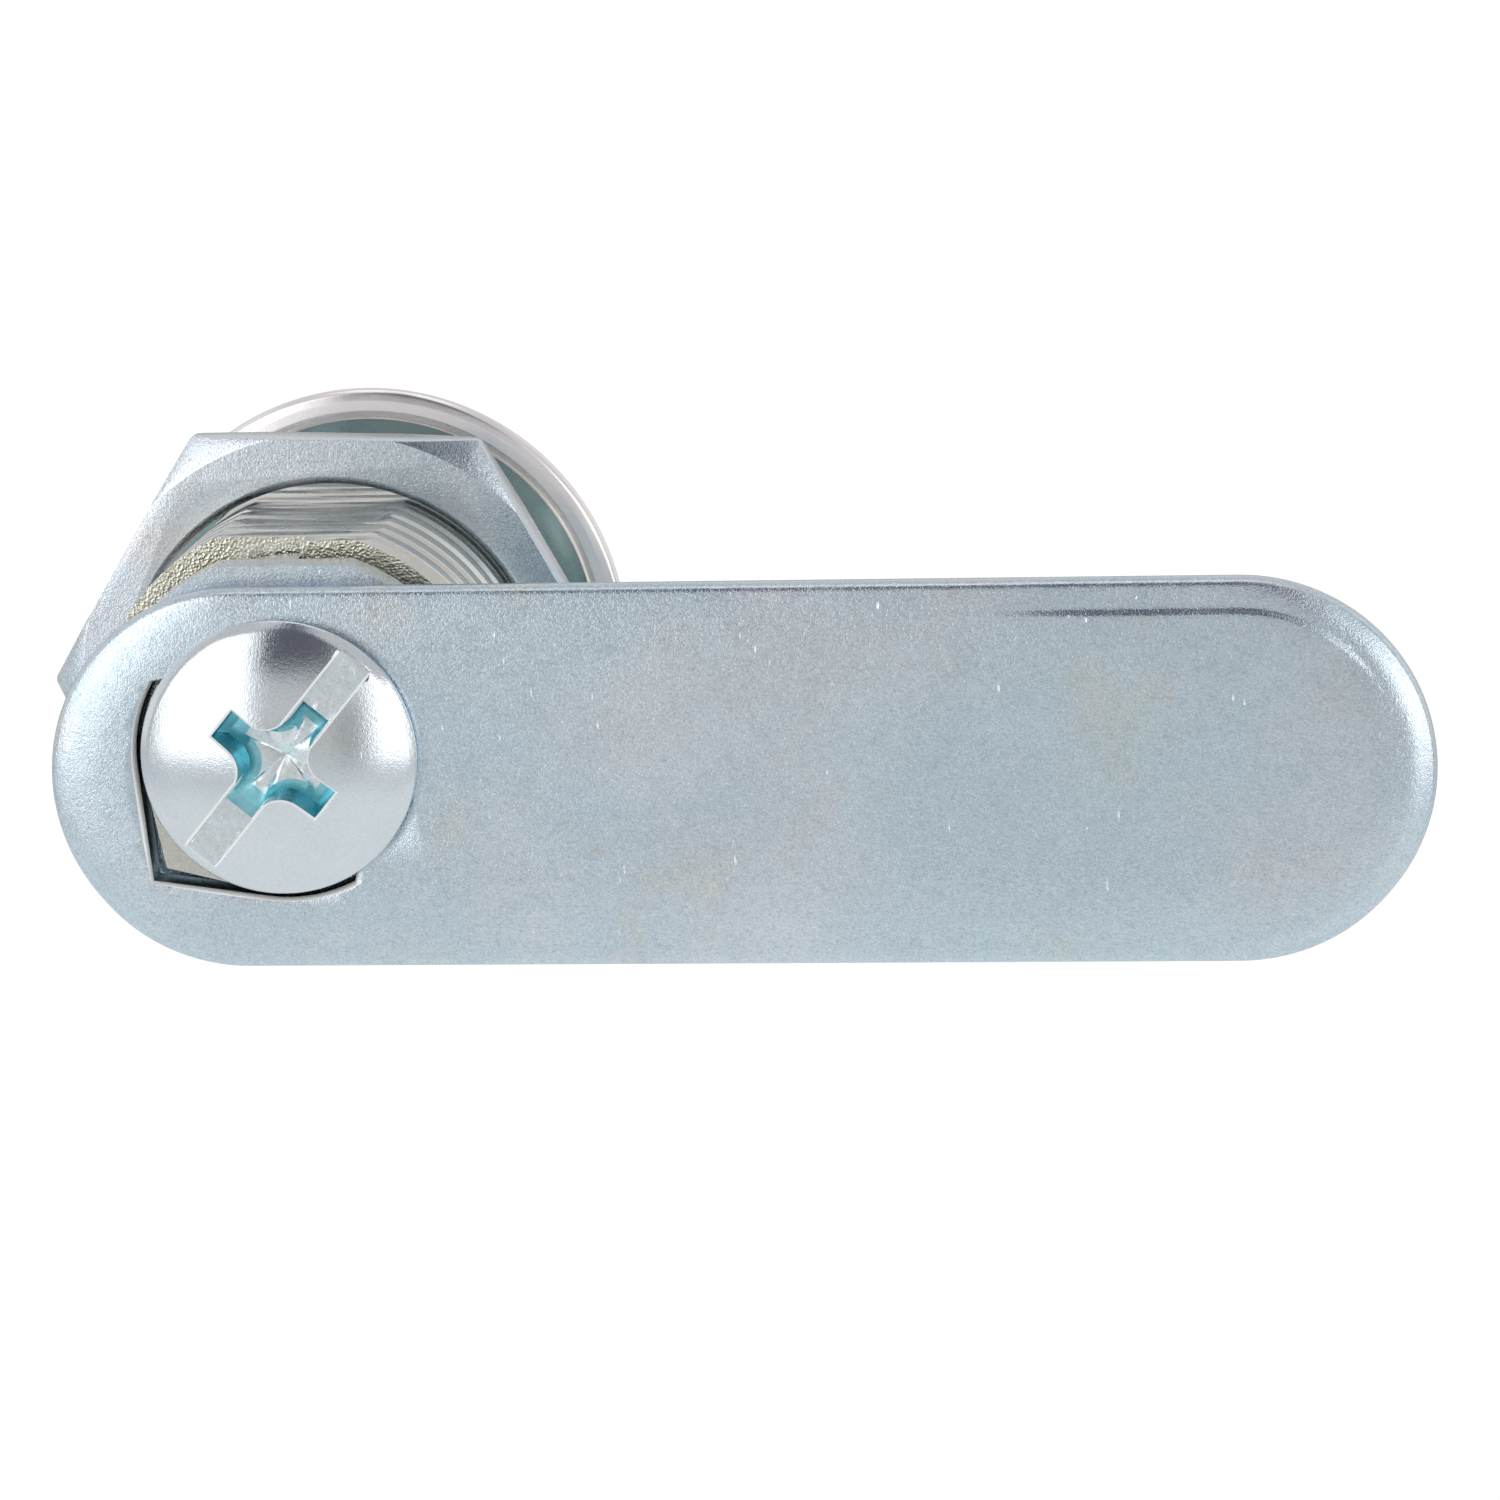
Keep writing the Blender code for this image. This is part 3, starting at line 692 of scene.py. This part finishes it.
def edge_marks(x, z):
    """Pairs of a distance from the outline and the edge's slope there in degrees, at a point of the outline.

    Round the tip and the hub the edge is rolled. Along the sides it is tight, and shallower at the bottom.
    Along the top of the tip half the die left a second line further in.
    """
    rolled_hub = smooth_step(CAM_HUB_X, CAM_HUB_X + 4.0, x) * 0.6
    rolled = max(rolled_hub, smooth_step(CAM_TIP_X + 1.0, CAM_TIP_X - 5.0, x))
    second = smooth_step(-28.5, -34.0, x) * smooth_step(4.0, 6.5, z - CAM_MIDDLE_Z)
    low = smooth_step(-5.0, -7.5, z - CAM_MIDDLE_Z)
    return (
        (0.0, 78.0), (0.09, 65.0 - 20.0 * low), (0.14, 48.0 - 20.0 * low), (0.24, 27.0 - 9.0 * low),
        (0.32, 13.0 + 20.0 * rolled - 4.0 * low), (0.60, 11.0 + 14.0 * rolled - 4.0 * low),
        (0.90, 10.0 + 6.0 * rolled - 4.0 * low), (1.18, 10.0 - 4.0 * low),
        (1.24, 10.0 + 22.0 * second - 4.0 * low), (1.40, 10.0 + 22.0 * second - 4.0 * low),
        (1.48, 9.0 - 3.0 * low), (1.9, 7.0 - 2.0 * low), (2.3, 4.0), (3.2, 2.5), (4.5, 0.0),
    )


def roll_slope(inset, marks):
    """The slope at a distance from the outline, on the straight lines between the marks."""
    for (near, high), (far, low) in zip(marks, marks[1:]):
        if inset <= far:
            return high + (low - high) * (inset - near) / (far - near)
    return 0.0


def roll_drops(marks, steps=4):
    """How far the surface lies below the cam's flat at each inset of EDGE_INSETS."""
    drops = [0.0]
    for near, far in reversed(list(zip(EDGE_INSETS, EDGE_INSETS[1:]))):
        part = (far - near) / steps
        slopes = [roll_slope(near + part * (i + 0.5), marks) for i in range(steps)]
        drops.append(drops[-1] + sum(part * math.tan(math.radians(slope)) for slope in slopes))
    return list(reversed(drops))


def build_cam():
    """A stamped bar: its outer edge is rounded by the die, its inner edge is worn, its hole is keyed."""
    outer = stadium(0.0)
    drops = [roll_drops(edge_marks(x, z)) for x, z in outer]
    bm = bmesh.new()
    rings = [add_ring(bm, stadium(inset), CAM_LOW + height) for inset, height in BACK_EDGE]
    for level, inset in enumerate(EDGE_INSETS):
        outline = stadium(inset)
        points = [place(x, CAM_HIGH - drop[level], z) for (x, z), drop in zip(outline, drops)]
        rings.append([bm.verts.new(point) for point in points])
    for one, two in zip(rings, rings[1:]):
        bridge(bm, one, two)
    bm.faces.new(rings[0])
    bm.faces.new(rings[-1])
    cam = make_object("cam_stamped", bm, ZINC_PLATE, 40.0)
    hole = bmesh.new()
    levels = ((0.25, CAM_LOW - 1), (0.25, CAM_LOW - 0.1), (0.0, CAM_LOW + 0.15), (0.0, CAM_HIGH - 0.28),
              (0.04, CAM_HIGH - 0.15), (0.11, CAM_HIGH - 0.06), (0.22, CAM_HIGH), (0.4, CAM_HIGH + 0.06),
              (0.4, CAM_HIGH + 1))
    hole_rings = [add_ring(hole, keyed_outline(offset), y) for offset, y in levels]
    for one, two in zip(hole_rings, hole_rings[1:]):
        bridge(hole, one, two)
    # The hole's wall gets the painted shade and its rolled top edge the painted highlight.
    for face in hole.faces:
        if face.calc_center_median().y > (CAM_HIGH - 0.27 + SEAT) * MM:
            face.material_index = 1
    hole.faces.new(hole_rings[0])
    hole.faces.new(hole_rings[-1])
    hole_cutter = make_object("hole_cutter", hole, HOLE_WALL_PAINTED_SHADE)
    hole_cutter.data.materials.append(PAINTED_EDGE_HIGHLIGHT)
    outline = arc((0, 0), CAM_SPOT[0], 0, 360, FINE)[:-1]
    spot = prism("spot_cutter", outline, CAM_LOW - 1, CAM_LOW + CAM_SPOT[1], ZINC_PLATE)
    combine(cam, [spot, hole_cutter], transfer=True)
    return bake(cam, 40.0)


def dome_y(radius):
    """Height of the screw's dome at a distance from the axis."""
    height = SCREW_TOP - SCREW_RIM
    sphere = (SCREW_HEAD_RADIUS**2 + height**2) / (2 * height)
    return SCREW_TOP - (sphere - math.sqrt(sphere**2 - radius**2))


def cross_outline(arm, half, bulge, shift=(0.0, 0.0)):
    """A four-armed recess whose inner corners bulge in as arcs, in the row's x and z."""
    quarter = [(arm, -half), (arm, half)]
    quarter += arc((half + bulge, half + bulge), bulge, 270, 180, 8)
    points = [point for k in range(4) for point in turn(quarter, 90 * k)]
    return [(x - shift[0], z + shift[1]) for x, z in turn(points, SLOT_ANGLE)]


def build_cam_screw():
    """A domed head with a slot, and in its middle a cross whose deeper core ends in a low pyramid."""
    profile = [(0, SCREW_LOW), (SCREW_RADIUS - 0.4, SCREW_LOW), (SCREW_RADIUS, SCREW_LOW + 0.4)]
    profile += [(SCREW_RADIUS, SCREW_SEAT), (SCREW_HEAD_RADIUS - 0.25, SCREW_SEAT)]
    profile += [(SCREW_HEAD_RADIUS - 0.06, SCREW_SEAT + 0.08), (SCREW_HEAD_RADIUS, SCREW_SEAT + 0.22)]
    profile += [(SCREW_HEAD_RADIUS, SCREW_RIM - 0.14), (SCREW_HEAD_RADIUS - 0.05, SCREW_RIM - 0.06)]
    profile += [(SCREW_HEAD_RADIUS - 0.14, SCREW_RIM - 0.01)]
    edge = SCREW_HEAD_RADIUS - 0.24
    rings = 28
    for i in range(rings + 1):
        radius = edge * (rings - i) / rings
        profile.append((radius, dome_y(radius)))
    screw = lathe_object("cam_screw_combo", profile, SCREW_ZINC, 192)
    slot_floor = dome_y(SLOT_REACH)
    combine(screw, [slot_cutter(slot_floor), cross_cutter(slot_floor)], transfer=True)
    return bake(screw, 40.0)


def slot_cutter(floor):
    """The slot, with small flares where its walls meet the dome that carry a painted highlight."""
    half = SLOT_WIDTH / 2
    bm = bmesh.new()
    sections = []
    for i in range(41):
        along = -6.2 + 12.4 * i / 40
        level = dome_y(min(SCREW_HEAD_RADIUS, math.hypot(along, half)))
        side = [(half, floor), (half, max(floor + 0.01, level - 0.09)), (half + 0.12, level + 0.01),
                (half + 0.24, level + 0.12), (half + 0.24, SCREW_TOP + 1)]
        section = [(along, across, y) for across, y in side]
        section += [(along, -across, y) for across, y in reversed(side)]
        ring = []
        for x, z, y in section:
            ((x, z),) = turn([(x, z)], SLOT_ANGLE)
            ring.append(bm.verts.new(place(x, y, z)))
        sections.append(ring)
    for one, two in zip(sections, sections[1:]):
        bridge(bm, one, two)
    # These flare faces get the painted highlight.
    flares = {1, 2, 6, 7}
    for number, face in enumerate(bm.faces):
        face.material_index = 1 if number % len(sections[0]) in flares else 0
    bm.faces.new(sections[0])
    bm.faces.new(sections[-1])
    cutter = make_object("slot_cutter", bm, RECESS_PALE)
    cutter.data.materials.append(PAINTED_EDGE_HIGHLIGHT)
    return cutter


def cross_cutter(slot_floor):
    """The cross: flared at the dome, tapering walls in painted shade, and a four-pointed core that ends in a
    low pyramid.
    """
    def on_dome(outline, lift):
        return [(x, dome_y(math.hypot(x, z)) + lift, z) for x, z in outline]

    top = cross_outline(2.72, 0.70, 1.15)
    wide = cross_outline(2.81, 0.79, 1.06)
    wider = cross_outline(2.92, 0.90, 0.95)
    levels = [
        [(x, SCREW_TOP + 1, z) for x, z in wider],
        on_dome(wider, 0.12),
        on_dome(wide, 0.01),
        on_dome(top, -0.09),
        [(x, slot_floor - 0.02, z) for x, z in cross_outline(2.66, 0.66, 1.15, (0.02, 0.01))],
        [(x, slot_floor - 0.30, z) for x, z in cross_outline(2.35, 0.60, 1.15, (0.12, 0.05))],
        [(x, CROSS_FLOOR + 0.32, z) for x, z in cross_outline(1.85, 0.34, 1.25, (0.32, 0.14))],
    ]
    bm = bmesh.new()
    rings = [[bm.verts.new(place(*point)) for point in level] for level in levels]
    count = len(rings[0])
    for one, two in zip(rings, rings[1:]):
        bridge(bm, one, two)
    apex = bm.verts.new(place(-0.32, CROSS_FLOOR, 0.14))
    bottom = rings[-1]
    for i, vert in enumerate(bottom):
        bm.faces.new((vert, bottom[(i + 1) % count], apex))
    # The walls get the painted shade, the flares at the dome the painted highlight and the pyramid the pale
    # recess metal.
    for number, face in enumerate(bm.faces):
        level = number // count
        face.material_index = 2 if level in (1, 2) else 1 if level == len(levels) - 1 else 0
    bm.faces.new(rings[0])
    cutter = make_object("cross_cutter", bm, RECESS_WALL_PAINTED_SHADE)
    cutter.data.materials.append(RECESS_PALE)
    cutter.data.materials.append(PAINTED_EDGE_HIGHLIGHT)
    return cutter


def build_hex_nut():
    """A hexagon prism cut to a double-chamfered shape, with a countersunk bore."""
    corner = NUT_ACROSS_FLATS / math.sqrt(3)
    outline = fillet(turn(arc((0, 0), corner, 0, 360, 6)[:-1], NUT_TURN), 0.35, 4)
    nut = prism("hex_nut_thin", outline, NUT_LOW, NUT_HIGH, ZINC_PLATE)
    drop = (corner + 0.3 - NUT_CHAMFER_RADIUS) * math.tan(math.radians(NUT_CHAMFER_ANGLE))
    envelope = [
        (0, NUT_LOW - 0.01), (NUT_CHAMFER_RADIUS, NUT_LOW - 0.01), (corner + 0.3, NUT_LOW + drop),
        (corner + 0.3, NUT_HIGH - drop), (NUT_CHAMFER_RADIUS, NUT_HIGH + 0.01), (0, NUT_HIGH + 0.01),
    ]
    combine(nut, [lathe_object("nut_envelope", envelope)], "INTERSECT")
    sink = NUT_COUNTERSINK - NUT_BORE
    bore = [
        (0, NUT_LOW - 1), (NUT_COUNTERSINK, NUT_LOW - 1),
        (NUT_COUNTERSINK, NUT_LOW), (NUT_BORE, NUT_LOW + sink),
        (NUT_BORE, NUT_HIGH - sink), (NUT_COUNTERSINK, NUT_HIGH),
        (NUT_COUNTERSINK, NUT_HIGH + 1), (0, NUT_HIGH + 1),
    ]
    combine(nut, [lathe_object("nut_bore_cutter", bore)])
    return soften(nut, width=0.08, segments=2, angle=12.0)


PIECES = (
    (build_housing, "housing", "housing", "die_cast_zinc"),
    (build_face_cap, "housing", "face_cap", "bright_cap"),
    (build_cam, "plug", "cam", "zinc_plate"),
    (build_cam_screw, "plug", "cam_screw", "screw_zinc"),
    (build_hex_nut, "hex_nut", "hex_nut", "zinc_plate"),
)
for build, body, node, slot in PIECES:
    piece = build()
    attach(piece, body)
    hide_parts(node)


def dress(node, finish, bevel):
    """A carried-over CAD node gets a detailed metal and softened edges."""
    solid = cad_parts[node]
    solid.data.materials.clear()
    solid.data.materials.append(finish)
    solid.data.set_sharp_from_angle(angle=math.radians(30))
    if bevel > 0:
        edge = solid.modifiers.new("soften", "BEVEL")
        edge.width = bevel * MM
        edge.segments = 2
        edge.limit_method = "ANGLE"
        edge.angle_limit = math.radians(32)


for node in sorted(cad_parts):
    if node == "plug":
        dress(node, PLUG_ZINC, 0.06)
    elif node == "stop_washer":
        dress(node, ZINC_PLATE, 0.12)
    elif node.startswith("wafer_spring"):
        dress(node, SPRING_STEEL, 0)
    elif node.startswith("wafer"):
        dress(node, WAFER_BRASS, 0.05)


# ---------------------------------------------------------------- studio

FLOOR_SIZE = 6.0
FLOOR_GAP = 0.0004
SEEN_WHITE = 1.05


def build_floor():
    """A white ground that only the camera sees; the metals reflect the studio's lower half instead."""
    bm = bmesh.new()
    half = FLOOR_SIZE / 2
    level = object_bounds()[0].z - FLOOR_GAP
    corners = rectangle(-half, half, -half, half)
    bm.faces.new([bm.verts.new((x, y, level)) for x, y in corners])
    finish = bpy.data.materials.new("white_ground")
    finish.use_nodes = True
    nodes = Nodes(finish.node_tree)
    white = nodes.add("ShaderNodeEmission", Color=(1.0, 1.0, 1.0, 1.0), Strength=SEEN_WHITE)
    clear = nodes.add("ShaderNodeBsdfTransparent")
    seen = nodes.add("ShaderNodeLightPath").outputs["Is Camera Ray"]
    mixed = nodes.add("ShaderNodeMixShader", Fac=seen)
    nodes.tree.links.new(clear.outputs[0], mixed.inputs[1])
    nodes.tree.links.new(white.outputs[0], mixed.inputs[2])
    output = nodes.add("ShaderNodeOutputMaterial")
    nodes.tree.links.new(mixed.outputs[0], output.inputs["Surface"])
    floor = make_object("floor", bm, finish)


# Lit areas: centre as azimuth from +Y towards +X and elevation, half sizes, softness (degrees); radiance
SOFTBOXES = (
    ((40.5, 18.0), (20.5, 28.0), 5.0, 1.75),
    ((-52.0, 8.0), (20.5, 20.0), 5.0, 1.75),
    ((180.0, 22.0), (55.0, 22.0), 14.0, 0.75),
    ((100.0, 25.0), (16.0, 30.0), 8.0, 0.9),
    ((-115.0, 25.0), (16.0, 30.0), 8.0, 0.9),
    ((-23.0, 0.0), (6.0, 12.0), 8.0, 0.42),
)
DARK_PATCH = ((-1.5, 60.0), (22.0, 34.0), 11.0)
DARK = (0.13, 0.13, 0.16)
OVERHEAD = (68.0, 80.0, 1.2)
STUDIO_GREY = (0.64, 0.64, 0.65)
HORIZON = (0.61, 0.60, 0.565)
GROUND = (0.635, 0.665, 0.685)
NEAR_GROUND = (0.80, 0.84, 0.84)


def build_world():
    """Softboxes, one dark patch and a pale ground, for the metals only: the camera sees plain white."""
    world = bpy.data.worlds.new("studio")
    bpy.context.scene.world = world
    world.use_nodes = True
    nodes = Nodes(world.node_tree)
    direction = nodes.add("ShaderNodeTexCoord").outputs["Generated"]
    parts = nodes.add("ShaderNodeSeparateXYZ", Vector=direction)
    x, y, z = parts.outputs
    azimuth = nodes.math("MULTIPLY", nodes.math("ARCTAN2", x, y), 180 / math.pi)
    elevation = nodes.math("MULTIPLY", nodes.math("ARCSINE", z), 180 / math.pi)

    def patch(centre, half, softness):
        turned = nodes.math("WRAP", nodes.math("SUBTRACT", azimuth, centre[0]), 180.0, -180.0)
        away = nodes.math("ABSOLUTE", turned)
        above = nodes.math("ABSOLUTE", nodes.math("SUBTRACT", elevation, centre[1]))
        across = nodes.ramp(away, half[0] - softness / 2, half[0] + softness / 2, 1.0, 0.0)
        up = nodes.ramp(above, half[1] - softness / 2, half[1] + softness / 2, 1.0, 0.0)
        return nodes.math("MULTIPLY", across, up)

    light = nodes.mix(nodes.ramp(elevation, -28.0, -16.0), NEAR_GROUND, GROUND)
    light = nodes.mix(nodes.ramp(elevation, -14.0, -2.0), light, HORIZON)
    light = nodes.mix(nodes.ramp(elevation, 0.0, 10.0), light, STUDIO_GREY)
    overhead = nodes.ramp(elevation, OVERHEAD[0], OVERHEAD[1])
    light = nodes.mix(overhead, light, (OVERHEAD[2],) * 3)
    for centre, half, softness, radiance in SOFTBOXES:
        light = nodes.mix(patch(centre, half, softness), light, (radiance,) * 3)
    light = nodes.mix(patch(*DARK_PATCH), light, DARK)
    seen = nodes.add("ShaderNodeLightPath").outputs["Is Camera Ray"]
    light = nodes.mix(seen, light, (SEEN_WHITE,) * 3)
    background = nodes.add("ShaderNodeBackground", Color=light, Strength=1.0)
    output = nodes.add("ShaderNodeOutputWorld")
    nodes.tree.links.new(background.outputs[0], output.inputs["Surface"])


# The camera stands behind the cam, above it and to its tip's side.
VIEW_AZIMUTH = 185.216
VIEW_ELEVATION = 12.443
VIEW_DISTANCE = 220.85
VIEW_TARGET = (-19.56, CAM_HIGH - 0.2, 0.556)
VIEW_TURN = 1.663
LENS = 128.5


def build_camera():
    data = bpy.data.cameras.new("camera")
    data.lens = LENS
    data.sensor_width = 36.0
    data.clip_start, data.clip_end = 0.01, 20.0
    camera = bpy.data.objects.new("camera", data)
    bpy.context.scene.collection.objects.link(camera)
    a, e = math.radians(VIEW_AZIMUTH), math.radians(VIEW_ELEVATION)
    back = Vector((math.sin(a) * math.cos(e), -math.cos(a) * math.cos(e), math.sin(e)))
    location = Vector(VIEW_TARGET) + back * VIEW_DISTANCE
    rotation = (-back).to_track_quat("-Z", "Y").to_matrix().to_4x4()
    about_axis = Matrix.Rotation(math.radians(-VIEW_TURN), 4, "Y")
    camera.matrix_world = about_axis @ Matrix.Translation(location) @ rotation
    turned = about_axis @ location
    camera.location = place(turned.x, turned.y, turned.z)
    bpy.context.scene.camera = camera


build_floor()
build_world()
build_camera()
bpy.context.scene.view_settings.view_transform = "Standard"
